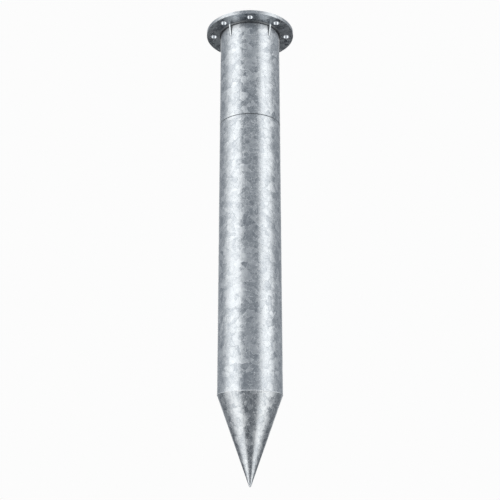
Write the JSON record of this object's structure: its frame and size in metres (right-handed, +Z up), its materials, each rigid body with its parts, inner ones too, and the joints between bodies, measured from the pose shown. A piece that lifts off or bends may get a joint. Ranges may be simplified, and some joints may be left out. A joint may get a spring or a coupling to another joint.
{
  "type": "driven pile",
  "caption": "Galvanised tubular driven pile with a round bolting flange on top, small gussets beneath it and a hollow pointed driving cone at the foot.",
  "frame": {"origin": "centre of the flange's top face, on the pile's axis", "axes": "+Z up along the pile's axis, away from the point; -Y towards the front bolt hole; +X to the right seen from the front"},
  "size_m": [0.248, 0.248, 1.2715],
  "materials": {
    "galvanised_tube": "hot-dip galvanised, spangled",
    "galvanised_plate": "hot-dip galvanised, matt",
    "galvanised_weld": "weld bead under hot-dip galvanising"
  },
  "bodies": {
    "root": {"flange_plate": "galvanised_plate", "head_tube": "galvanised_tube", "shaft_tube": "galvanised_tube", "tip_cone": "galvanised_plate", "tip_nose": "galvanised_weld", "gusset_front_left": "galvanised_plate", "gusset_front_right": "galvanised_plate", "gusset_back_left": "galvanised_plate", "gusset_back_right": "galvanised_plate", "gusset_weld_front_left": "galvanised_weld", "gusset_weld_front_right": "galvanised_weld", "gusset_weld_back_left": "galvanised_weld", "gusset_weld_back_right": "galvanised_weld", "flange_weld_front": "galvanised_weld", "flange_weld_right": "galvanised_weld", "flange_weld_back": "galvanised_weld", "flange_weld_left": "galvanised_weld", "flange_inner_weld": "galvanised_weld", "splice_weld": "galvanised_weld", "cone_weld": "galvanised_weld", "cone_seam_weld": "galvanised_weld"}
  },
  "joints": []
}
